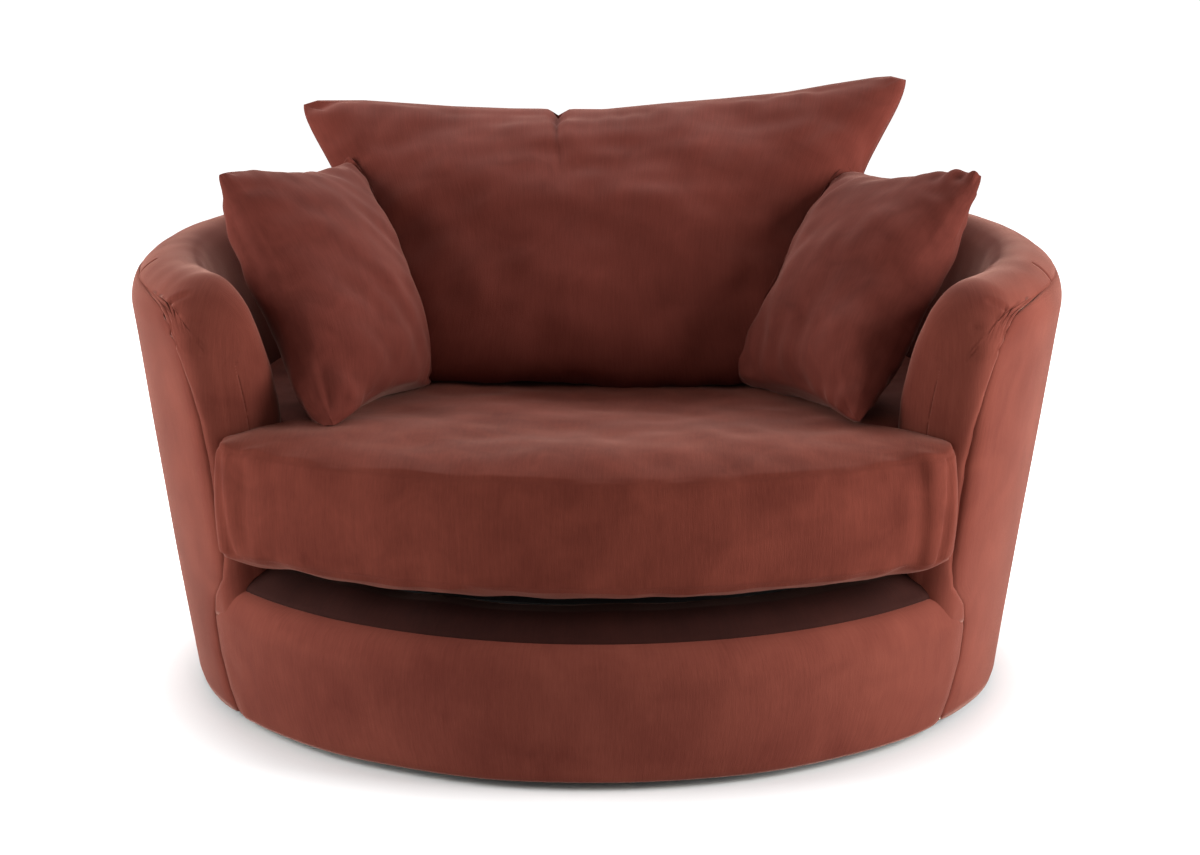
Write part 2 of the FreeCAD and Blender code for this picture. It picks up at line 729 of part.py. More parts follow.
def scatter_form(skin, corners):
    """Square pillow hung on its four seam corners: top outer, top inner, bottom inner, bottom outer."""
    points = [Vec(x, y, seat_level + z) for x, y, z in corners]
    centre = (points[0] + points[1] + points[2] + points[3]) * 0.25
    normal = (points[1] - points[3]).cross(points[0] - points[2]).normalize()
    if normal.z < 0:
        normal = normal * -1
    flat = [p - normal * (p - centre).dot(normal) - centre for p in points]
    down = Vec(0, 0, -1) + normal * normal.z
    half = (points[1] - points[0]).Length / 2
    grow = (1 - skin / half) / (1 - pillow_nose)

    def place(u, v, away):
        du = u * (1 - scatter_draw * (1 - v * v))
        dv = v * (1 - scatter_draw * (1 - u * u))
        top = flat[0] * ((1 - du) / 2) + flat[1] * ((1 + du) / 2)
        foot = flat[3] * ((1 - du) / 2) + flat[2] * ((1 + du) / 2)
        spot = top * ((1 + dv) / 2) + foot * ((1 - dv) / 2)
        swell = normal * (away * (scatter_swell - skin))
        return centre + spot * grow + swell + down * (scatter_slump * abs(away))

    return pillow(place)


def left_form(skin):
    return scatter_form(skin, left_scatter)


def right_form(skin):
    return scatter_form(skin, right_scatter)


def trimmed(form, skin, neighbours):
    """A soft form pressed against its neighbours, kept a small gap off them."""
    shape = form(skin)
    for neighbour in neighbours:
        shape = shape.cut(neighbour(-(rest_gap + skin)))
    return largest(shape)


def cushion(form, neighbours):
    """Cover as a closed shell and the filling inside it."""
    outer = trimmed(form, 0.0, neighbours)
    inner = trimmed(form, cover, neighbours)
    filling = largest(trimmed(form, cover + filling_gap, neighbours).common(inner))
    shell = largest(outer.cut(inner))
    return shell, filling


tub_frame()
body_base()
turntable()
front_of_base()
platform()

for node, form, neighbours in (
    ("seat_cushion", seat_form, []),
    ("back_cushion", back_form, [seat_form, tub_form]),
    ("scatter_cushion_left", left_form, [seat_form, tub_form, back_form]),
    ("scatter_cushion_right", right_form, [seat_form, tub_form, back_form]),
):
    shell, filling = cushion(form, neighbours)
    save(shell, node + "_cover")
    save(filling, node + "_filling")
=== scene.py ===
# %% [markdown]
# A round swivel cuddle chair in rust-coloured velvet.
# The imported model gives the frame: every length below is in metres in that frame, the origin is on
# the floor under the swivel axis, +Z is up and the sitter faces -Y.
# Azimuths are counted from the front, positive towards +X, as on a compass laid on the floor.

# %% Load the frame
import json
import math
import bpy
import bmesh
import numpy as np
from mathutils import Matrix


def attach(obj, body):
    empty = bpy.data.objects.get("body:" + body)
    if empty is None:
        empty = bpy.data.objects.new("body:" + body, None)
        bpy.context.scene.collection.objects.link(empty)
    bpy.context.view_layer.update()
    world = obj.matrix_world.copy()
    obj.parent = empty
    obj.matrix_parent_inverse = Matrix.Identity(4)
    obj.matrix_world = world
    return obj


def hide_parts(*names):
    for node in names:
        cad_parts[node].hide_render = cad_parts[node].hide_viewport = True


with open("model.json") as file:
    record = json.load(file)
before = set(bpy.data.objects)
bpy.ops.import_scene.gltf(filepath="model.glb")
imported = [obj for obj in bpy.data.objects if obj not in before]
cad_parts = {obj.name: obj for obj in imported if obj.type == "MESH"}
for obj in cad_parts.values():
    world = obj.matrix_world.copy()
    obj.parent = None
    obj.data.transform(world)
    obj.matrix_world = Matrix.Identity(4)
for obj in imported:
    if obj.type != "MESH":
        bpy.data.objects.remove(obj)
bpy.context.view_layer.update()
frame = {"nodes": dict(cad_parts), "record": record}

scene = bpy.context.scene

# %% [markdown]
# The camera stands where the photographer's did: about 4 m in front and 1.27 m up, looking down a
# little, with a long lens. The chair is swivelled about 2 degrees away from it, so here the camera
# stands 2 degrees to the side and the chair stays straight.

# %% Camera
view_data = bpy.data.cameras.new("view")
view_data.lens = 86.0
view_data.sensor_width = 36.0
camera = bpy.data.objects.new("view", view_data)
camera.location = (0.158, -3.997, 1.272)
camera.rotation_euler = (math.radians(90 - 13.12), 0.0, math.radians(2.2))
scene.collection.objects.link(camera)
scene.camera = camera

# %% [markdown]
# The studio is a pale floor, a large soft lamp to each side, a weak one above the camera and one
# behind the chair, which lights the tops of the arms. Velvet glows where light grazes it, and the
# side lamps give the arms their pale edges.

# %% Lamps and world


def lamp(name, place, aim, size, power):
    """A rectangular area lamp at a place, turned towards a point."""
    data = bpy.data.lights.new(name, "AREA")
    data.shape = "RECTANGLE"
    data.size, data.size_y = size
    data.energy = power
    obj = bpy.data.objects.new(name, data)
    obj.location = place
    away = np.subtract(place, aim)
    flat = math.hypot(away[0], away[1])
    obj.rotation_euler = (math.atan2(flat, away[2]), 0.0, math.atan2(away[0], -away[1]))
    scene.collection.objects.link(obj)


lamp("left_lamp", (-3.2, -0.7, 1.25), (0.0, 0.0, 0.35), (1.8, 2.2), 112.0)
lamp("right_lamp", (3.2, -0.7, 1.25), (0.0, 0.0, 0.35), (1.8, 2.2), 156.0)
lamp("front_lamp", (-0.3, -3.2, 3.2), (0.0, 0.0, 0.3), (2.4, 1.6), 15.0)
lamp("top_lamp", (-0.2, 2.0, 2.4), (0.0, 0.2, 0.5), (3.4, 1.0), 74.0)

# %% [markdown]
# Materials are written as sums. A small class holds a socket and turns + - * into Math nodes, and
# one method makes any other node, so a finish reads like its formula.

# %% Shader sums


class Sum:
    """A socket that adds its own Math nodes when it is used in arithmetic."""

    def __init__(self, finish, socket):
        self.finish = finish
        self.socket = socket

    def math(self, operation, first, second):
        return self.finish.node("ShaderNodeMath", {"operation": operation}, {0: first, 1: second})

    def __add__(self, other):
        return self.math("ADD", self, other)

    def __sub__(self, other):
        return self.math("SUBTRACT", self, other)

    def __rsub__(self, other):
        return self.math("SUBTRACT", other, self)

    def __mul__(self, other):
        return self.math("MULTIPLY", self, other)

    __radd__ = __add__
    __rmul__ = __mul__


class Finish:
    """A material with a Principled surface and one method that makes any node."""

    def __init__(self, name, **constants):
        self.material = bpy.data.materials.new(name)
        self.material.use_nodes = True
        self.tree = self.material.node_tree
        self.tree.nodes.clear()
        self.surface = self.tree.nodes.new("ShaderNodeBsdfPrincipled")
        self.output = self.tree.nodes.new("ShaderNodeOutputMaterial")
        self.tree.links.new(self.surface.outputs[0], self.output.inputs[0])
        for key, value in constants.items():
            self.surface.inputs[key.replace("_", " ")].default_value = value

    def feed(self, socket, value):
        if isinstance(value, Sum):
            self.tree.links.new(value.socket, socket)
        else:
            socket.default_value = value

    def node(self, kind, settings=None, inputs=None, output=0):
        made = self.tree.nodes.new(kind)
        for key, value in (settings or {}).items():
            if key == "stops":
                ramp = made.color_ramp
                while len(ramp.elements) < len(value):
                    ramp.elements.new(0.5)
                for element, (place, colour) in zip(ramp.elements, value):
                    element.position = place
                    element.color = (*colour, 1.0)
            else:
                setattr(made, key, value)
        for key, value in (inputs or {}).items():
            self.feed(made.inputs[key], value)
        return Sum(self, made.outputs[output])

    def set(self, **values):
        for key, value in values.items():
            self.feed(self.surface.inputs[key.replace("_", " ")], value)

    def place(self, source, scale=(1.0, 1.0, 1.0), turn=(0.0, 0.0, 0.0)):
        """Coordinates named by their source, stretched and turned."""
        start = self.node("ShaderNodeTexCoord", output=source)
        return self.node("ShaderNodeMapping", None, {"Vector": start, "Scale": scale, "Rotation": turn})

    def noise(self, where, scale, detail=2.0, distortion=0.0):
        inputs = {"Vector": where, "Scale": scale, "Detail": detail, "Distortion": distortion}
        return self.node("ShaderNodeTexNoise", None, inputs)

    def bump(self, height, distance, strength=1.0):
        self.set(Normal=self.node("ShaderNodeBump", None,
                                  {"Height": height, "Distance": distance, "Strength": strength}))


# %% [markdown]
# Velvet is a short pile. Three things show: fine upright streaks of the weave, broad patches where
# the pile was brushed one way or the other, and a glow at grazing angles, which is the shader's own
# sheen. The streaks follow each panel's own threads, so they read the piece's UV map, in metres.

# %% Velvet


def velvet(name, dark, light, patch_scale=4.0, glow=0.42):
    """Colour = ramp(streaks + patches); height = streaks + pile."""
    cloth = Finish(name, Roughness=0.9, Sheen_Weight=glow, Sheen_Roughness=0.3,
                   Sheen_Tint=(1.0, 0.58, 0.47, 1.0), Specular_IOR_Level=0.1)
    threads = cloth.place("UV", (900.0, 70.0, 1.0))
    fine = cloth.noise(threads, 1.0, 2.0)
    slub = cloth.noise(cloth.place("UV", (260.0, 16.0, 1.0)), 1.0, 2.0)
    patch = cloth.noise(cloth.place("Object"), patch_scale, 3.0, 0.6)
    cloud = cloth.noise(cloth.place("Object", turn=(0.4, 0.2, 0.9)), patch_scale * 3.7, 2.0, 0.8)
    tone = fine * 0.26 + slub * 0.24 + patch * 0.7 + cloud * 0.5 - 0.35
    colour = cloth.node("ShaderNodeValToRGB", {"stops": [(0.18, dark), (0.82, light)]}, {0: tone})
    cloth.set(Base_Color=colour, Roughness=0.98 - patch * 0.16)
    pile = cloth.noise(cloth.place("Object"), 900.0, 1.0)
    cloth.bump(fine * 0.5 + slub * 0.3 + pile * 0.35, 0.0007, 0.5)
    return cloth.material


rust_dark = (0.105, 0.021, 0.014)
rust_light = (0.205, 0.052, 0.034)
tub_velvet = velvet("tub_velvet", rust_dark, rust_light, 3.0)
base_velvet = velvet("base_velvet", rust_dark, rust_light, 3.0)
# The lip is the same velvet as the base; its near-black colour is painted shade where the seat cushion
# overhangs it.
lip_painted_shade_velvet = velvet("lip_painted_shade_velvet", (0.016, 0.004, 0.003), (0.036, 0.009, 0.006), 3.0, 0.08)
# The cushions are sewn from the tub's velvet; their darker colours, darkest on the scatter cushions, are
# painted shade, not a different cloth.
seat_velvet = velvet("seat_velvet", (0.092, 0.018, 0.011), (0.188, 0.043, 0.027), 5.0, 0.14)
back_velvet = velvet("back_velvet", (0.096, 0.019, 0.0125), (0.178, 0.039, 0.027), 4.0, 0.18)
scatter_velvet = velvet("scatter_velvet", (0.082, 0.016, 0.0105), (0.165, 0.037, 0.026), 6.0, 0.18)

# %% [markdown]
# Nothing under the velvet shows, but each hidden part still has its own plain finish: foam with
# small cells, fibre, plywood with its plies, planed softwood, brown hardboard and zinc plate.

# %% Finishes under the cover


def speckled(name, dark, light, scale, rough, height=0.0004, **constants):
    """Colour = ramp(noise), height = the same noise: foam, felt, fibre, board and plastic."""
    made = Finish(name, **constants)
    grain = made.noise(made.place("Object"), scale, 3.0)
    colour = made.node("ShaderNodeValToRGB", {"stops": [(0.3, dark), (0.7, light)]}, {0: grain})
    made.set(Base_Color=colour, Roughness=rough - grain * 0.1)
    made.bump(grain, height, 0.4)
    return made.material


def grained(name, dark, light, scale, rough):
    """Colour = ramp(noise stretched along the grain, which runs round or along the piece)."""
    made = Finish(name)
    grain = made.noise(made.place("Object", scale), 1.0, 4.0, 1.2)
    fibre = made.noise(made.place("Object", tuple(9.0 * s for s in scale)), 1.0, 2.0)
    colour = made.node("ShaderNodeValToRGB", {"stops": [(0.25, dark), (0.75, light)]},
                       {0: grain * 0.7 + fibre * 0.3})
    made.set(Base_Color=colour, Roughness=rough - fibre * 0.15)
    made.bump(fibre, 0.0003, 0.4)
    return made.material


def metal(name, colour, rough):
    """Metal whose polish varies with fine scratches."""
    made = Finish(name, Metallic=1.0, Base_Color=(*colour, 1.0))
    scratch = made.noise(made.place("Object", (400.0, 400.0, 30.0)), 1.0, 2.0)
    made.set(Roughness=rough - 0.1 + scratch * 0.2)
    made.bump(scratch, 0.00005, 0.3)
    return made.material


finishes = {
    "platform_lining": speckled("platform_lining", (0.02, 0.017, 0.017), (0.05, 0.045, 0.045), 700.0, 0.95),
    "dust_lining": speckled("dust_lining", (0.012, 0.012, 0.012), (0.03, 0.03, 0.03), 900.0, 0.95),
    "felt": speckled("felt", (0.3, 0.28, 0.25), (0.5, 0.48, 0.44), 300.0, 1.0, 0.001),
    "fibre": speckled("fibre", (0.72, 0.72, 0.7), (0.86, 0.86, 0.84), 150.0, 1.0, 0.002),
    "foam": speckled("foam", (0.7, 0.65, 0.46), (0.84, 0.79, 0.6), 420.0, 0.95, 0.0008),
    "hardboard": speckled("hardboard", (0.27, 0.16, 0.085), (0.38, 0.24, 0.13), 260.0, 0.6),
    "chipboard": speckled("chipboard", (0.03, 0.027, 0.024), (0.06, 0.052, 0.045), 200.0, 0.7),
    "plywood": grained("plywood", (0.46, 0.3, 0.16), (0.66, 0.47, 0.28), (9.0, 9.0, 240.0), 0.75),
    "softwood": grained("softwood", (0.5, 0.33, 0.17), (0.72, 0.53, 0.32), (60.0, 60.0, 5.0), 0.7),
    "zinc_steel": metal("zinc_steel", (0.56, 0.57, 0.58), 0.42),
    "spring_steel": metal("spring_steel", (0.2, 0.2, 0.21), 0.45),
    "bearing_steel": metal("bearing_steel", (0.7, 0.7, 0.71), 0.18),
    "black_plastic": speckled("black_plastic", (0.018, 0.018, 0.018), (0.032, 0.032, 0.032), 500.0, 0.6),
    "white_plastic": speckled("white_plastic", (0.72, 0.72, 0.7), (0.82, 0.82, 0.8), 300.0, 0.5),
    "tub_velvet": tub_velvet,
    "base_velvet": base_velvet,
    "seat_velvet": seat_velvet,
    "back_velvet": back_velvet,
    "scatter_velvet": scatter_velvet,
}
for part in frame["record"]["subparts"]:
    node = frame["nodes"][part["node"]]
    for face_slot in node.material_slots:
        face_slot.material = finishes[part["material_slot"]]

# %% [markdown]
# Every soft piece below is a surface: arrays of points over two parameters. These helpers turn the
# arrays into a mesh, and give the gentle unevenness of stuffed cloth from a few dozen waves.

# %% Surfaces from arrays


def mesh_piece(name, points, faces, uv):
    """Make an object from points (n, 3), quads (m, 4) and one UV pair, in metres, per point."""
    mesh = bpy.data.meshes.new(name)
    mesh.vertices.add(len(points))
    mesh.vertices.foreach_set("co", points.astype(np.float32).ravel())
    mesh.loops.add(faces.size)
    mesh.loops.foreach_set("vertex_index", faces.astype(np.int32).ravel())
    mesh.polygons.add(len(faces))
    mesh.polygons.foreach_set("loop_start", np.arange(0, faces.size, 4, dtype=np.int32))
    mesh.update(calc_edges=True)
    mesh.validate()
    layer = mesh.uv_layers.new(name="threads")
    layer.data.foreach_set("uv", uv[faces.ravel()].astype(np.float32).ravel())
    mesh.polygons.foreach_set("use_smooth", np.ones(len(faces), dtype=bool))
    obj = bpy.data.objects.new(name, mesh)
    scene.collection.objects.link(obj)
    return obj


def quads(rows, columns, start=0):
    """Quads of a grid of rows x columns points, turned so that d(row) x d(column) faces out."""
    i, j = np.meshgrid(np.arange(rows - 1), np.arange(columns - 1), indexing="ij")
    a = (start + i * columns + j).ravel()
    return np.stack([a, a + columns, a + columns + 1, a + 1], axis=1)


def grids_piece(name, grids, uvs, weld=1e-5):
    """Join several grids (rows, columns, 3) into one mesh and merge the points that they share."""
    points, faces, pairs, start = [], [], [], 0
    for grid, uv in zip(grids, uvs):
        points.append(grid.reshape(-1, 3))
        pairs.append(uv.reshape(-1, 2))
        faces.append(quads(grid.shape[0], grid.shape[1], start))
        start += grid.shape[0] * grid.shape[1]
    obj = mesh_piece(name, np.concatenate(points), np.concatenate(faces), np.concatenate(pairs))
    sheet = bmesh.new()
    sheet.from_mesh(obj.data)
    bmesh.ops.remove_doubles(sheet, verts=sheet.verts, dist=weld)
    bmesh.ops.dissolve_degenerate(sheet, edges=sheet.edges, dist=1e-7)
    sheet.to_mesh(obj.data)
    sheet.free()
    return obj


def normals(grid):
    """Unit normals of a grid, from the cross product of its two differences."""
    across = np.gradient(grid, axis=0)
    along = np.gradient(grid, axis=1)
    n = np.cross(across, along)
    return n / np.maximum(np.linalg.norm(n, axis=-1, keepdims=True), 1e-9)


def waves(points, length, seed, count=28):
    """Soft unevenness from -1 to 1: the mean of plane waves in random directions, a given length apart."""
    rng = np.random.default_rng(seed)
    way = rng.normal(size=(count, 3))
    way /= np.linalg.norm(way, axis=1, keepdims=True)
    way *= 2 * np.pi / (length * rng.uniform(0.7, 1.4, (count, 1)))
    phase = rng.uniform(0, 2 * np.pi, count)
    return np.sin(points @ way.T + phase).sum(axis=-1) / math.sqrt(count)


def near(distance, width):
    """1 on a line and 0 well away from it: exp of minus the squared distance over the width."""
    return np.exp(-(distance / width) ** 2)


def crease(points, start, end, width):
    """1 along the straight line from start to end, fading over a width and towards both ends."""
    start, end = np.array(start), np.array(end)
    run = end - start
    t = np.clip((points - start) @ run / (run @ run), 0.0, 1.0)
    gap = np.linalg.norm(points - start - t[..., None] * run, axis=-1)
    return near(gap, width) * (0.35 + 0.65 * np.sin(np.pi * (0.1 + 0.8 * t)))


def shell(obj, thickness=0.0025):
    """Give a sheet its cloth's thickness, inwards."""
    solid = obj.modifiers.new("cloth", "SOLIDIFY")
    solid.thickness = thickness
    solid.offset = -1.0


def dress(obj, material, body, nodes):
    """Put a velvet on a piece, hang it on the body that it rides on and hide the parts that it replaces."""
    obj.data.materials.append(material)
    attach(obj, body)
    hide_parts(*nodes)
    print(obj.name, len(obj.data.polygons), "faces")


# %% [markdown]
# The tub's wall is one section carried round the axis: a leaning outer face, a rolled edge made of
# two arcs, and an inner face that leans out as it rises. At each arm the section draws in and drops,
# which makes the arm's soft front. The section is written for whole arrays of azimuth and station,
# and the station counts along it: 0 to 1 up the outer face, 1 to 2 the outer arc, 2 to 3 the top,
# 3 to 4 the inner arc, 4 to 5 the leaning inner face and 5 to 6 down to the deck.

# %% The wall's section
ground = 0.012
foot_radius = 0.571
slope = 0.147
lean = math.atan(slope)
ridge = 0.612
outer_roll = 0.062
inner_roll = 0.040
inner_centre = 0.586
well = 0.506
straight_top = 0.380
deck = 0.227
arm_azimuth = 51.5
arm_radius = 0.590
side_round = 0.035
top_round = 0.090
arm_low = 0.152
inner_foot = 0.206
rounded_part = 8.74


def cone(z):
    """Radius of the leaning outer face."""
    return foot_radius + slope * (z - ground)


def rounding(depth, radius):
    """How far a round edge has drawn in: radius - sqrt(radius2 - (radius - depth)2)."""
    short = np.clip(1.0 - depth / radius, 0.0, 1.0)
    return radius * (1.0 - np.sqrt(1.0 - short ** 2))


def wall_section(inset, drop, station, low, inner_low):
    """Radius and height at a station of the wall's section, drawn in and dropped."""
    part = np.clip(np.floor(station), 0, 5)
    t = station - part
    r_out = outer_roll - inset
    z_out = ridge - outer_roll - drop
    c_out = cone(z_out) - outer_roll / math.cos(lean)
    r_in = inner_roll - inset
    z_in = ridge - inner_roll - drop
    c_in = inner_centre - slope * drop
    rise = z_in - straight_top
    reach = c_in - well
    big = (reach ** 2 + rise ** 2 - inner_roll ** 2) / (2 * (reach - inner_roll))
    c_big = well + big
    turn = np.arctan2(rise, c_big - c_in)
    r_big = big - inset
    touch = z_out - r_out * math.sin(lean)
    z0 = low + (touch - low) * t
    a1 = -lean + (math.pi / 2 + lean) * t
    a3 = math.pi / 2 + (math.pi / 2 - turn) * t
    a4 = turn * (1 - t)
    r = np.select(
        [part == 0, part == 1, part == 2, part == 3, part == 4],
        [cone(z0) - inset / math.cos(lean), c_out + r_out * np.cos(a1), c_out + (c_in - c_out) * t,
         c_in + r_in * np.cos(a3), c_big - r_big * np.cos(a4)],
        well + inset)
    z = np.select(
        [part == 0, part == 1, part == 2, part == 3, part == 4],
        [z0, z_out + r_out * np.sin(a1), z_out + r_out, z_in + r_in * np.sin(a3),
         straight_top + r_big * np.sin(a4)],
        straight_top + (inner_low - straight_top) * t)
    return r, z


def depth_of(azimuth):
    """Distance behind the nearer arm's front, measured along the arm."""
    return np.radians(np.minimum(azimuth - arm_azimuth, 360 - arm_azimuth - azimuth)) * arm_radius


def wall(azimuth, station, low=arm_low, inner_low=inner_foot):
    """Points of the padded wall: the section at each azimuth, drawn in near the arms' fronts."""
    azimuth, station = np.broadcast_arrays(azimuth, station)
    depth = np.maximum(depth_of(azimuth), 0.0)
    inset = rounding(depth, side_round)
    drop = rounding(depth, top_round) - inset
    r, z = wall_section(inset, drop, station, low, inner_low)
    a = np.radians(azimuth)
    return np.stack([r * np.sin(a), -r * np.cos(a), z], axis=-1)


def wall_inner_radius(z):
    """Radius of the tub's inner face at a height, up to the top of the rolled edge."""
    z_in = ridge - inner_roll
    rise = z_in - straight_top
    reach = inner_centre - well
    big = (reach ** 2 + rise ** 2 - inner_roll ** 2) / (2 * (reach - inner_roll))
    z = np.minimum(z, ridge)
    lower = well + big - np.sqrt(np.maximum(big ** 2 - np.maximum(z - straight_top, 0.0) ** 2, 0.0))
    upper = inner_centre - np.sqrt(np.maximum(inner_roll ** 2 - (z - z_in) ** 2, 0.0))
    return np.where(z < z_in - 0.006, lower, upper)


# %% [markdown]
# Two covers meet on the wall. The outside panel runs from the floor up over the outer shoulder, and
# the inside cover comes over the rolled edge and round the front of each arm. Their seam drops down
# the arm's front corner, so its azimuth is a curve of the height, and both covers use that curve.

# %% Seams of the tub
seam_station = 1.40
seam_azimuth_back = 76.0
seam_tuck = 0.10
seam_depth = 0.0022
seam_width = 0.0045
hem_curl = 0.002
seam_heights = [0.012, 0.046, 0.095, 0.140, 0.180, 0.197, 0.215, 0.25, 0.40, 0.457, 0.50, 0.52, 0.55,
                0.5714, 0.5782, 0.5819]
seam_azimuths = [56.2, 57.9, 59.1, 58.8, 57.0, 55.3, 53.8, 53.1, 52.9, 53.1, 53.7, 54.4, 55.3,
                 59.0, 64.0, 76.0]


def seam_azimuth(station, low):
    """Azimuth of the front seam at a station of the outer side."""
    zero = np.zeros_like(station)
    _, z = wall_section(zero, zero, station, low, inner_foot)
    return np.interp(z, seam_heights, seam_azimuths)


def spaced(start, end, step):
    """Evenly spaced values from start to end, about a step apart."""
    return np.linspace(start, end, max(2, int(round(abs(end - start) / step)) + 1))


def stations(first, last, steps):
    """Stations along the section, with a number of steps for each of its six parts."""
    runs = []
    for part, count in enumerate(steps):
        a, b = max(first, part), min(last, part + 1)
        if b > a:
            runs.append(spaced(a, b, 1.0 / count)[:-1])
    return np.append(np.concatenate(runs), last)


def lengths(grid, axis):
    """Running length along one axis of a grid, taken at its middle row, as thread coordinates."""
    line = np.take(grid, grid.shape[1 - axis] // 2, axis=1 - axis)
    run = np.append(0.0, np.cumsum(np.linalg.norm(np.diff(line, axis=0), axis=1)))
    return run


def thread_uv(grid):
    """UV in metres: the first axis runs across the threads and the second along them."""
    u, v = np.meshgrid(lengths(grid, 0), lengths(grid, 1), indexing="ij")
    return np.stack([u, v], axis=-1)


# %% [markdown]
# The arm's front is the section at its most drawn in, filled by moving each point towards the
# middle line of the arm, with a slight swell. Rows behind it follow the rounded edge, and the grid
# ends on the curved seam.

# %% Inside cover


def arm_front(side):
    """Grid and threads of one arm's front and rounded edge; side is 1 for +X and -1 for -X."""
    line = stations(0.0, 6.0, (44, 22, 2, 14, 30, 12))
    outer = line <= seam_station
    inset, drop = side_round + 0 * line, top_round - side_round + 0 * line
    start = wall_section(inset, drop, line, arm_low, inner_foot)
    half = int(np.argmax(start[1]))
    z_mid = np.minimum(start[1], start[1].max() - 0.016)
    r_mid = (np.interp(z_mid, start[1][:half], start[0][:half])
             + np.interp(z_mid, start[1][:half:-1], start[0][:half:-1])) / 2
    fill = np.linspace(1.0, 0.0, 9)[:-1, None]
    r = start[0] * (1 - fill) + r_mid * fill
    z = start[1] * (1 - fill) + z_mid * fill
    a = np.radians(arm_azimuth) - 0.0035 * (1 - (1 - fill) ** 2) / arm_radius
    front = np.stack([r * np.sin(a), -r * np.cos(a), z + 0 * a], axis=-1)
    whole = seam_azimuth_back - arm_azimuth
    behind = np.concatenate([spaced(0.0, rounded_part, 0.29), spaced(rounded_part, whole, 0.4)[1:]])
    span = np.where(outer, seam_azimuth(line, arm_low) + seam_tuck, seam_azimuth_back) - arm_azimuth
    azimuth = arm_azimuth + behind[:, None] / behind[-1] * span
    side_rows = wall(azimuth, line[None, :])
    to_seam = np.where(outer, np.radians(azimuth[-1] - azimuth) * arm_radius, 1.0)
    side_rows = side_rows - normals(side_rows) * (seam_depth * near(to_seam, 0.004))[..., None]
    grid = np.concatenate([front, side_rows])
    way = np.where(line < 2.5, 1.0, -1.0)
    x, y, z = grid[..., 0], grid[..., 1], grid[..., 2]
    across = np.hypot(x, y) + way * np.arctan2(x, -y) * arm_radius
    uv = np.stack([across, z], axis=-1)
    if side < 0:
        grid = grid[::-1] * np.array([-1.0, 1.0, 1.0])
        uv = uv[::-1]
    return grid, uv


def cover_details(grid):
    """Move a tub cover along its normals: slack cloth, and three small pleats on each arm's shoulder."""
    out = normals(grid)
    x, y, z = grid[..., 0], grid[..., 1], grid[..., 2]
    move = 0.001 + 0.0011 * waves(grid, 0.22, 3) + 0.0004 * waves(grid, 0.06, 4)
    folded = np.stack([np.abs(x), y, z], axis=-1)
    for start, end, deep in arm_pleats:
        move += 0.6 * deep * crease(folded, start, end, 0.014)
        move -= deep * crease(folded, start, end, 0.0045)
    return grid + out * move[..., None]


arm_pleats = [
    ((0.555, -0.334, 0.570), (0.5215, -0.3445, 0.590), 0.0055),
    ((0.543, -0.353, 0.553), (0.499, -0.371, 0.562), 0.0065),
    ((0.533, -0.367, 0.536), (0.496, -0.383, 0.529), 0.0055),
]
roll_line = stations(seam_station, 6.0, (44, 22, 2, 14, 30, 12))
round_rows = spaced(seam_azimuth_back, 360 - seam_azimuth_back, 1.2)
roll = wall(round_rows[:, None], roll_line[None, :])
(right_arm, right_uv), (left_arm, left_uv) = arm_front(1), arm_front(-1)
roll = roll - normals(roll) * (seam_depth * near(roll_line - seam_station, 0.05))[None, :, None]
cover_grids = [cover_details(g) for g in (right_arm, roll, left_arm)]
inside_cover = grids_piece("inside_upholstery", cover_grids, [right_uv, thread_uv(roll), left_uv], 4e-4)
shell(inside_cover)
dress(inside_cover, tub_velvet, "chair_body", ["inside_cover"])

# %% [markdown]
# The outside panel is one wide piece of cloth drawn tight over wadding. Its edges curl in a little
# where they are sewn, and that narrow dark groove is what shows as a seam.

# %% Outside panel


def outside_panel():
    """Grid round the back between the two front seams, from the hem up over the outer shoulder."""
    line = stations(0.0, seam_station + 0.01, (48, 22, 1, 1, 1, 1))
    first = seam_azimuth(line, ground) - seam_tuck
    runs = spaced(0.0, 0.1, 0.004), spaced(0.1, 0.9, 0.0055)[1:], spaced(0.9, 1.0, 0.004)[1:]
    part = np.concatenate(runs)
    azimuth = first + part[:, None] * (360 - 2 * first)
    grid = wall(azimuth, line[None, :], ground)
    edge = np.minimum(part, 1 - part)[:, None] * np.radians(360 - 2 * first) * 0.62
    top = np.linalg.norm(grid - grid[:, -1:], axis=-1)
    bottom = grid[..., 2] - ground
    curl = seam_depth * np.maximum(near(edge, seam_width), near(top, seam_width))
    curl = curl + hem_curl * near(bottom, 0.004)
    puff = 0.0022 * (1 - near(edge, 0.02)) + 0.0012 * waves(grid, 0.3, 8) * (1 - near(edge, 0.01))
    puff *= 1 - near(top, 0.02)
    return grid + normals(grid) * (puff - curl)[..., None]


panel_grid = outside_panel()
outside = grids_piece("outside_panel", [panel_grid], [thread_uv(panel_grid)])
shell(outside)
dress(outside, tub_velvet, "chair_body", ["outside_cover"])

# %% [markdown]
# The front of the base carries the curve on below the seat: a tall curved panel, and above its seam
# a soft lip that rolls back under the seat cushion.

# %% Front of the base
front_roll_start = 0.150
front_seam = (0.5795, 0.197)
lip_back = (0.538, deck)
lip_half = 57.9


def circle_through(p, q, s):
    """Centre and radius of the circle through three points of a plane."""
    (ax, ay), (bx, by), (cx, cy) = p, q, s
    d = 2 * (ax * (by - cy) + bx * (cy - ay) + cx * (ay - by))
    a2, b2, c2 = ax * ax + ay * ay, bx * bx + by * by, cx * cx + cy * cy
    ux = (a2 * (by - cy) + b2 * (cy - ay) + c2 * (ay - by)) / d
    uy = (a2 * (cx - bx) + b2 * (ax - cx) + c2 * (bx - ax)) / d
    return (ux, uy), math.hypot(ax - ux, ay - uy)


lip_centre, lip_radius = circle_through((cone(front_roll_start), front_roll_start), front_seam, lip_back)


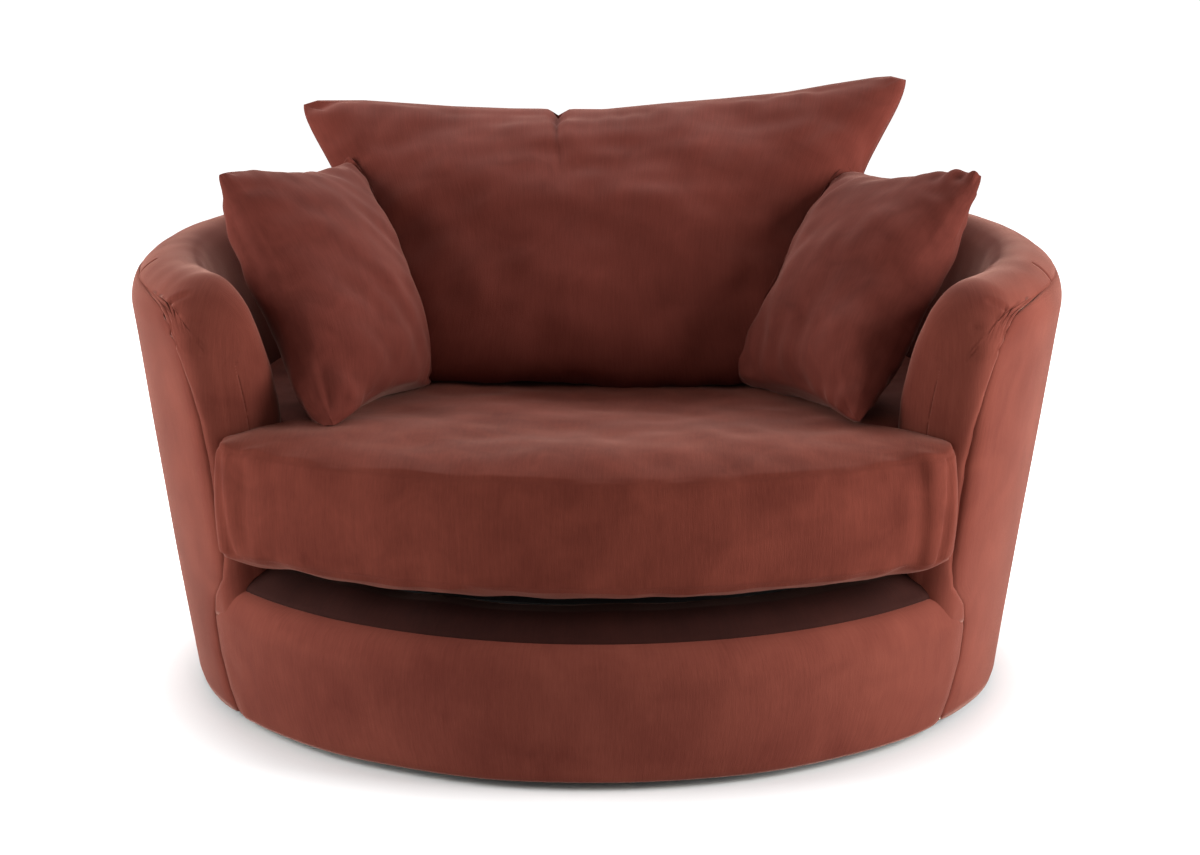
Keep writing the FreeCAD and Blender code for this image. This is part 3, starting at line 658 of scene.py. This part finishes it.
def lip_arc(first, last, count, before=0.0, after=0.0):
    """Radius and height along the lip's circle between two of its points, run on past either end."""
    a0 = math.atan2(first[1] - lip_centre[1], first[0] - lip_centre[0]) - before / lip_radius
    a1 = math.atan2(last[1] - lip_centre[1], last[0] - lip_centre[0]) + after / lip_radius
    a = np.linspace(a0, a1, count)
    return lip_centre[0] + lip_radius * np.cos(a), lip_centre[1] + lip_radius * np.sin(a)


def base_grid(r, z, half):
    """Turn a line of radius and height through a half-angle, in degrees, to each side of the front."""
    runs = -1 + spaced(0.0, 0.1, 0.006), spaced(-0.9, 0.9, 0.012)[1:-1], 1 - spaced(0.1, 0.0, 0.006)
    part = np.concatenate(runs)
    a = np.radians(part[:, None] * half[None, :])
    grid = np.stack([r * np.sin(a), -r * np.cos(a), z + 0 * a], axis=-1)
    edge = np.radians((1 - np.abs(part))[:, None] * half[None, :]) * 0.58
    return grid, edge


z_low = spaced(ground, front_roll_start, 0.004)
r_high, z_high = lip_arc((cone(front_roll_start), front_roll_start), front_seam, 22, after=0.0012)
panel_r = np.append(cone(z_low), r_high[1:])
panel_z = np.append(z_low, z_high[1:])
panel_half = np.interp(panel_z, seam_heights, seam_azimuths) + 0.12
front_grid, side_edge = base_grid(panel_r, panel_z, panel_half)
top_edge = np.linalg.norm(front_grid - front_grid[:, -1:], axis=-1)
curl = seam_depth * np.maximum(near(side_edge, seam_width), near(top_edge, seam_width))
curl = curl + hem_curl * near(front_grid[..., 2] - ground, 0.004)
puff = 0.004 + 0.0012 * waves(front_grid, 0.25, 12)
puff = puff + 0.0008 * waves(front_grid, 0.05, 13) * near(side_edge, 0.06)
puff = puff * (1 - near(side_edge, 0.02)) * (1 - near(top_edge, 0.014))
front_grid = front_grid + normals(front_grid) * (puff - curl)[..., None]
front_panel = grids_piece("front_panel", [front_grid], [thread_uv(front_grid)])
shell(front_panel)
dress(front_panel, base_velvet, "chair_body", ["front_panel_cover"])

lip_r, lip_z = lip_arc(front_seam, lip_back, 22, before=0.0012)
lip_r = np.append(lip_r, np.linspace(lip_back[0], well, 8)[1:])
lip_z = np.append(lip_z, np.full(7, deck))
lip_grid, _ = base_grid(lip_r, lip_z, np.full(len(lip_r), lip_half))
front_edge = np.linalg.norm(lip_grid - lip_grid[:, :1], axis=-1)
lift = 0.0015 * waves(lip_grid, 0.12, 15) * (1 - near(front_edge, 0.01))
lift = lift - seam_depth * near(front_edge, seam_width)
lip_grid = lip_grid + normals(lip_grid) * lift[..., None]
front_lip = grids_piece("front_lip", [lip_grid], [thread_uv(lip_grid)])
shell(front_lip)
# Painted shade: the lip's velvet is near-black for the shadow under the seat cushion.
dress(front_lip, lip_painted_shade_velvet, "chair_body", ["front_lip_cover"])

# %% [markdown]
# The seat cushion is boxed: a top panel, a bottom panel and a border strip between two seams. Its
# plan is a curved front, an ear in front of each arm and a round back that fills the tub. The same
# plan is shrunk towards a middle point for every ring of the surface, and the border is gathered
# near the front corners, where it turns.

# %% Plan of the seat cushion
seat_front = 0.590
seat_front_arc = 0.770
seat_half = 0.475
ear_round = 0.045
ear_azimuth = math.radians(54.0)
arm_gap = 0.030
seat_middle = np.array([0.0, -0.080])
border_low, border_high = 0.267, 0.409
crown, crown_y, crown_fall = 0.424, -0.350, 0.053
tail_round = 0.012
gather_run, second_gather_run, fold_run = 0.462, 0.60, 0.485


def arc_points(p, q, s, count):
    """Points of the arc from p through q to s."""
    centre, radius = circle_through(p, q, s)
    a, b, c = (math.atan2(k[1] - centre[1], k[0] - centre[0]) for k in (p, q, s))
    turn = 2 * math.pi
    sweep = (c - a) % turn
    if (b - a) % turn > sweep:
        sweep -= turn
    t = a + np.linspace(0.0, sweep, count)
    return np.stack([centre[0] + radius * np.cos(t), centre[1] + radius * np.sin(t)], axis=1)


def seat_plan(count):
    """Closed plan of the seat cushion, evenly spaced, starting at the middle of the front."""
    along = np.array([math.sin(ear_azimuth), -math.cos(ear_azimuth)])
    ahead = np.array([-math.cos(ear_azimuth), -math.sin(ear_azimuth)])
    room = well - 0.008
    inner = ahead * arm_gap + along * math.sqrt(room ** 2 - arm_gap ** 2)
    reach = (seat_half + arm_gap * math.cos(ear_azimuth)) / math.sin(ear_azimuth)
    outer = ahead * arm_gap + along * reach
    x = seat_half - ear_round
    y = -seat_front + seat_front_arc - math.sqrt(seat_front_arc ** 2 - x ** 2)
    corner = (seat_half - 0.25 * ear_round, y + 0.42 * ear_round)
    side = (seat_half, y + 1.35 * ear_round)
    front = arc_points((0.0, -seat_front), (x / 2, -seat_front + seat_front_arc
                       - math.sqrt(seat_front_arc ** 2 - x ** 2 / 4)), (x, y), 60)
    ear = arc_points((x, y), corner, side, 24)
    tail = outer + (np.array(side) - outer) / np.linalg.norm(np.array(side) - outer) * tail_round
    turned = outer + (inner - outer) / np.linalg.norm(inner - outer) * tail_round
    bend = arc_points(tuple(tail), tuple((tail + turned) / 2 * 0.4 + outer * 0.6), tuple(turned), 8)
    edge = np.linspace(turned, inner, 12)
    mid = math.atan2(inner[1], inner[0])
    a = np.linspace(mid, math.pi / 2, 120)
    back = room * np.stack([np.cos(a), np.sin(a)], axis=1)
    right = np.concatenate([front, ear[1:], bend, edge[1:], back[1:]])
    left = right[::-1][1:] * np.array([-1.0, 1.0])
    loop = np.concatenate([right, left])
    run = np.append(0.0, np.cumsum(np.linalg.norm(np.diff(loop, axis=0), axis=1)))
    where = np.linspace(0.0, run[-1], count)
    return np.stack([np.interp(where, run, loop[:, 0]), np.interp(where, run, loop[:, 1])], axis=1), where


def seat_top(x, y, share=0.0):
    """Height of the seat surface; share is 0 at the middle and 1 at the top seam."""
    full = 1 - share ** 10
    return border_high + (crown - border_high) * full - crown_fall * (y - crown_y) * (1 - share ** 6)


# %% [markdown]
# The surface runs from the pole under the cushion, out to the bottom seam, up the border, over the
# top seam and in to the pole of the crown. Each seam pinches the cloth, and the cloth puckers next
# to it.

# %% Seat cushion
plan, plan_run = seat_plan(600)
share_low = np.concatenate([spaced(0.0, 0.9, 0.03), spaced(0.9, 1.0, 0.008)[1:]])
border_t = spaced(0.0, 1.0, 0.03)
share_top = np.concatenate([spaced(1.0, 0.86, 0.007), spaced(0.86, 0.0, 0.014)[1:]])
share = np.concatenate([share_low, np.ones(len(border_t) - 2), share_top])
swell = np.concatenate([0 * share_low, np.sin(np.pi * border_t[1:-1]) ** 0.7, 0 * share_top])
rise = np.concatenate([0 * share_low, border_t[1:-1], np.ones(len(share_top))])
ring = seat_middle + (plan[:, None, :] - seat_middle) * (share * (1 + 0.012 * swell))[None, :, None]
low_height = deck + 0.001 + (border_low - deck - 0.001) * share ** 8
border_height = border_low + (border_high - border_low) * rise
top_height = seat_top(ring[..., 0], ring[..., 1], share)
on_top = np.arange(len(share)) >= len(share_low) + len(border_t) - 2
height = np.where(on_top[None, :], top_height,
                  np.where((rise > 0)[None, :], border_height, low_height) + 0 * ring[..., 0])
seat_grid = np.concatenate([ring, height[..., None]], axis=-1)
front_run = np.minimum(plan_run, plan_run[-1] - plan_run)[:, None]
from_top_seam = np.abs(seat_grid[..., 2] - border_high) + np.abs(1 - share) * 0.45
from_low_seam = np.abs(seat_grid[..., 2] - border_low) + np.abs(1 - share) * 0.45
pinch = 0.0035 * near(from_top_seam, 0.0035) + 0.003 * near(from_low_seam, 0.0035)
pucker = np.sin(plan_run / 0.0125 + 2.2 * np.sin(plan_run / 0.061))[:, None]
pucker_2 = np.sin(plan_run / 0.0082 + 1.7 * np.sin(plan_run / 0.037) + 1.0)[:, None]
gather = near(front_run - gather_run, 0.055) + 0.5 * near(front_run - second_gather_run, 0.05)
beside = near(from_top_seam, 0.022) + near(from_low_seam, 0.022)
on_border = (rise > 0)[None, :] & ~on_top[None, :]
wrinkle = (0.0007 + 0.0022 * gather) * beside * pucker + 0.0012 * gather * on_border * pucker_2
sag = 0.0022 * waves(seat_grid, 0.2, 21) + 0.0009 * waves(seat_grid, 0.07, 22)
fold_line = fold_run + 0.12 * (seat_grid[..., 2] - border_low)
end_fold = 0.005 * near(front_run - fold_line, 0.006) * on_border
pinch = pinch + end_fold
move = (sag * (1 - near(1 - share, 0.004)) - pinch + wrinkle) * (share[None, :] > 0.02)
seat_grid = seat_grid + normals(seat_grid) * move[..., None]
seat_grid[-1] = seat_grid[0]
seat_grid[:, 0] = seat_grid[:, 0].mean(axis=0)
seat_grid[:, -1] = seat_grid[:, -1].mean(axis=0)
flat_uv = seat_grid[..., :2]
strip_uv = np.stack([plan_run[:, None] + 0 * height, seat_grid[..., 2]], axis=-1)
seat_uv = np.where(on_border[..., None], strip_uv, flat_uv)
seat_cushion = grids_piece("seat_cushion", [seat_grid], [seat_uv])
dress(seat_cushion, seat_velvet, "seat_cushion",
      ["seat_cushion_cover", "seat_cushion_filling"])

# %% [markdown]
# The loose cushions are knife-edged pillows: two sheets sewn edge to edge and stuffed. For u and v
# from -1 to 1, the stuffing lifts each sheet by ((1 - u2)(1 - v2)) to a power, which is thin along
# the seam and full in the middle, and the sides draw in between the corners.

# %% Pillow


def pillow_parameters(count):
    """u and v of a square grid, closer together near the seam."""
    t = np.linspace(-1.0, 1.0, count)
    t = t * (1.5 - 0.5 * t ** 2)
    return np.meshgrid(t, t, indexing="ij")


def pillow_height(u, v, power=0.46):
    """Stuffing above the seam's plane, from 0 at the seam to 1 in the middle."""
    return np.maximum((1 - u ** 2) * (1 - v ** 2), 0.0) ** power


def pillow_piece(name, place, size, count, seed):
    """Sew a front and a rear sheet, both placed by place(u, v, h), with puckers along the seam."""
    u, v = pillow_parameters(count)
    h = pillow_height(u, v)
    edge = np.minimum(1 - np.abs(u), 1 - np.abs(v)) * min(size) / 2
    along = np.where(1 - np.abs(u) < 1 - np.abs(v), v * size[1], u * size[0]) / 2
    rng = np.random.default_rng(seed)
    shift = rng.uniform(0, 6.28, 2)
    sheets = []
    for side in (1, -1):
        grid = place(u, v, side * h)
        pucker = np.sin(along / 0.0078 + 2.0 * np.sin(along / 0.043 + shift[0]) + side)
        pucker *= 0.5 + 0.5 * np.sin(along / 0.11 + shift[1])
        move = 0.0014 * pucker * near(edge - 0.009, 0.012)
        move += 0.0035 * waves(grid, 0.17, seed) + 0.0013 * waves(grid, 0.06, seed + 1)
        corner = np.abs(u * v) ** 3
        move += 0.004 * corner * waves(np.stack([u, v, 0 * u], axis=-1), 0.16, seed + 2) * (edge > 0.002)
        move *= 1 - near(edge, 0.004)
        out = normals(grid) * side
        sheets.append(grid + out * (side * move)[..., None])
    front, rear = sheets
    inner = np.zeros((count, count), dtype=bool)
    inner[1:-1, 1:-1] = True
    index = np.arange(count * count).reshape(count, count)
    rear_index = index.copy()
    rear_index[inner] = count * count + np.arange(inner.sum())
    points = np.concatenate([front.reshape(-1, 3), rear[inner]])
    pairs = np.stack([u * size[0] / 2, v * size[1] / 2], axis=-1)
    pairs = np.concatenate([pairs.reshape(-1, 2), pairs[inner] + 3.0])
    faces = quads(count, count)
    back = rear_index.ravel()[faces][:, ::-1]
    return mesh_piece(name, points, np.concatenate([faces, back]), pairs)


# %% [markdown]
# The back cushion leans back in the tub, wide at the top, with its right top corner standing a
# little higher. Its stuffing has sunk, so it is full at the foot, and its top seam dips at one
# place where the cloth folds. Where it presses on the seat or the wall it takes their shape.

# %% Back cushion
back_lean = math.radians(41.0)
back_up = np.array([0.0, math.sin(back_lean), math.cos(back_lean)])
back_out = np.array([0.0, -math.cos(back_lean), math.sin(back_lean)])
back_foot = np.array([-0.002, 0.012, 0.400])
back_widths = (0.840, 0.934)
back_swell = (0.135, 0.300)
back_slump = (0.110, 0.020)
back_draw = 0.20
corner_nose = 0.036
top_across = [-1.0, -0.955, -0.8, -0.65, -0.5, -0.3, 0.0, 0.2, 0.4, 0.6, 0.75, 0.9, 0.95, 1.0]
top_along = [0.480, 0.488, 0.4887, 0.4836, 0.4785, 0.475, 0.4743,
             0.4857, 0.4952, 0.5066, 0.5216, 0.5347, 0.5367, 0.530]
middle_along = top_along[top_across.index(0.0)]
fold_at = -0.15


def soft_corner(u, v, amount=0.065):
    """Cut a sheet's corners round: u shrinks by an amount times v to a high power."""
    return u * (1 + corner_nose - amount * np.abs(v) ** 7)


def back_place(u, v, h):
    """Back cushion's point: across, along the lean and out of it, with the slump of its stuffing."""
    top = np.interp(u, top_across, top_along)
    du = soft_corner(u, v, 0.06) * (1 - back_draw * (1 - v ** 2))
    width = back_widths[0] + (back_widths[1] - back_widths[0]) * (v + 1) / 2
    front = h > 0
    along = top * (1 + v) / 2 - np.where(front, back_slump[0], back_slump[1]) * h
    out = h * np.where(front, back_swell[0], back_swell[1])
    notch = near(u - fold_at, 0.03) * np.clip((v - 0.55) / 0.45, 0.0, 1.0)
    along = along - 0.012 * notch ** 2
    fold = near(u - fold_at - 0.05 * (1 - v), 0.012) * np.clip((v - 0.5) / 0.4, 0.0, 1.0) * front
    out = out - 0.008 * fold * (h > 0.02)
    return (back_foot + (du * width / 2)[..., None] * np.array([1.0, 0.0, 0.0])
            + along[..., None] * back_up + out[..., None] * back_out)


def rest_on_seat(points, gap=0.0028):
    """Lift points to the seat surface where they would sink into it."""
    lifted = points.copy()
    lifted[..., 2] = np.maximum(points[..., 2], seat_top(points[..., 0], points[..., 1]) + gap)
    return lifted


def rest_on_wall(points, gap=0.0035):
    """Draw points in to the tub's inner face where they would pass through it."""
    r = np.hypot(points[..., 0], points[..., 1])
    limit = wall_inner_radius(points[..., 2]) - gap
    held = (points[..., 2] < ridge) & (r > limit)
    scale = np.where(held, limit / np.maximum(r, 1e-6), 1.0)
    moved = points.copy()
    moved[..., :2] *= scale[..., None]
    return moved


back_cushion = pillow_piece("back_cushion", lambda u, v, h: rest_on_wall(rest_on_seat(back_place(u, v, h))),
                            (0.90, 0.45), 170, 31)
dress(back_cushion, back_velvet, "back_cushion",
      ["back_cushion_cover", "back_cushion_filling"])

# %% [markdown]
# Each scatter cushion stands on a corner between an arm and the back cushion. Its four seam corners
# are given, and u and v run between them.

# %% Scatter cushions
scatter_corners = {
    "left": ((-0.513, -0.169, 0.729), (-0.374, 0.236, 0.689),
             (-0.233, -0.032, 0.404), (-0.329, -0.399, 0.424)),
    "right": ((0.534, -0.080, 0.725), (0.361, 0.224, 0.677),
              (0.196, -0.032, 0.415), (0.358, -0.352, 0.424)),
}
scatter_swell = 0.080
scatter_slump = 0.010
scatter_draw = 0.13


def rest_on_back(points, gap=0.002):
    """Push points out of the back cushion's front, along the way that it swells."""
    local = points - back_foot
    across, along, out = local[..., 0], local @ back_up, local @ back_out
    h = np.zeros_like(out)
    for _ in range(6):
        raised = along + back_slump[0] * h
        width = back_widths[0] + (back_widths[1] - back_widths[0]) * raised / middle_along
        top = np.interp(2 * across / width, top_across, top_along)
        v = np.clip(2 * raised / top - 1, -1.0, 1.0)
        u = np.clip(2 * across / width / (1 + corner_nose) / (1 - back_draw * (1 - v ** 2)), -1.0, 1.0)
        h = 0.5 * h + 0.5 * pillow_height(u, v)
    need = np.where(h > 0.01, h * back_swell[0] + gap - out, 0.0)
    need = np.where(out > -0.06, np.maximum(need, 0.0), 0.0)
    return points + need[..., None] * back_out


def scatter_place(corners):
    """Point of a square pillow hung on four corners: top outer, top inner, bottom inner, bottom outer."""
    p = [np.array(c) for c in corners]
    centre = sum(p) / 4
    normal = np.cross(p[1] - p[3], p[0] - p[2])
    normal *= np.sign(normal[2]) / np.linalg.norm(normal)
    flat = [c - centre - normal * ((c - centre) @ normal) for c in p]
    down = np.array([0.0, 0.0, -1.0]) + normal * normal[2]

    def place(u, v, h):
        u, v = soft_corner(u, v), soft_corner(v, u)
        du = (u * (1 - scatter_draw * (1 - v ** 2)))[..., None]
        dv = (v * (1 - scatter_draw * (1 - u ** 2)))[..., None]
        top = flat[0] * (1 - du) / 2 + flat[1] * (1 + du) / 2
        foot = flat[3] * (1 - du) / 2 + flat[2] * (1 + du) / 2
        spot = top * (1 + dv) / 2 + foot * (1 - dv) / 2
        swelled = normal * (h * scatter_swell)[..., None] + down * (scatter_slump * np.abs(h))[..., None]
        return rest_on_wall(rest_on_back(rest_on_seat(centre + spot + swelled)))

    return place


for side, seed in (("left", 41), ("right", 52)):
    name = "scatter_cushion_" + side
    piece = pillow_piece(name, scatter_place(scatter_corners[side]), (0.42, 0.41), 120, seed)
    nodes = [name + "_cover", name + "_filling"]
    dress(piece, scatter_velvet, "scatter_" + side, nodes)

# %% [markdown]
# The floor is a wide plain sheet. To the camera, through Light Path, it adds white of its own, less
# so close to the chair, so that it is as pale as the photograph's: the white fades out in a ring round the
# chair's foot, which is a painted contact shadow added to the chair's real shadow.
# The world is white to the camera in the same way, and lights the chair only weakly.

# %% Floor
floor_line = np.linspace(-30, 30, 3)
floor_x, floor_y = np.meshgrid(floor_line, floor_line, indexing="ij")
floor_grid = np.stack([floor_x, floor_y, 0 * floor_x], axis=-1)
floor = grids_piece("floor", [floor_grid], [floor_grid[..., :2]])
painted_shadow_radii = (0.56, 0.78)
floor_paint = Finish("floor_paint", Roughness=0.9, Specular_IOR_Level=0.0,
                     Base_Color=(0.86, 0.86, 0.86, 1.0))
seen = floor_paint.node("ShaderNodeLightPath", output="Is Camera Ray")
glossy = floor_paint.node("ShaderNodeLightPath", output="Is Glossy Ray")
spot = floor_paint.place("Object")
far = floor_paint.node("ShaderNodeVectorMath", {"operation": "LENGTH"}, {0: spot}, output=1)
black, white = (0.0, 0.0, 0.0), (1.0, 1.0, 1.0)
stops = list(zip(painted_shadow_radii, (black, white)))
# Painted contact shadow: the floor's added white fades to none between these radii round the chair.
painted_shadow_ramp = floor_paint.node("ShaderNodeValToRGB", {"stops": stops}, {0: far})
glow = floor_paint.node("ShaderNodeEmission", None, {"Color": painted_shadow_ramp, "Strength": (seen + glossy) * 0.85})
base = Sum(floor_paint, floor_paint.surface.outputs[0])
both = floor_paint.node("ShaderNodeAddShader", None, {0: base, 1: glow})
floor_paint.feed(floor_paint.output.inputs[0], both)
floor.data.materials.append(floor_paint.material)

world = bpy.data.worlds.new("studio")
world.use_nodes = True
world.node_tree.nodes["Background"].inputs[0].default_value = (1.0, 1.0, 1.0, 1.0)
light_path = world.node_tree.nodes.new("ShaderNodeLightPath")
strength = world.node_tree.nodes.new("ShaderNodeMapRange")
strength.inputs["To Min"].default_value = 0.24
world.node_tree.links.new(light_path.outputs["Is Camera Ray"], strength.inputs["Value"])
world.node_tree.links.new(strength.outputs[0], world.node_tree.nodes["Background"].inputs[1])
scene.world = world
scene.view_settings.view_transform = "Standard"
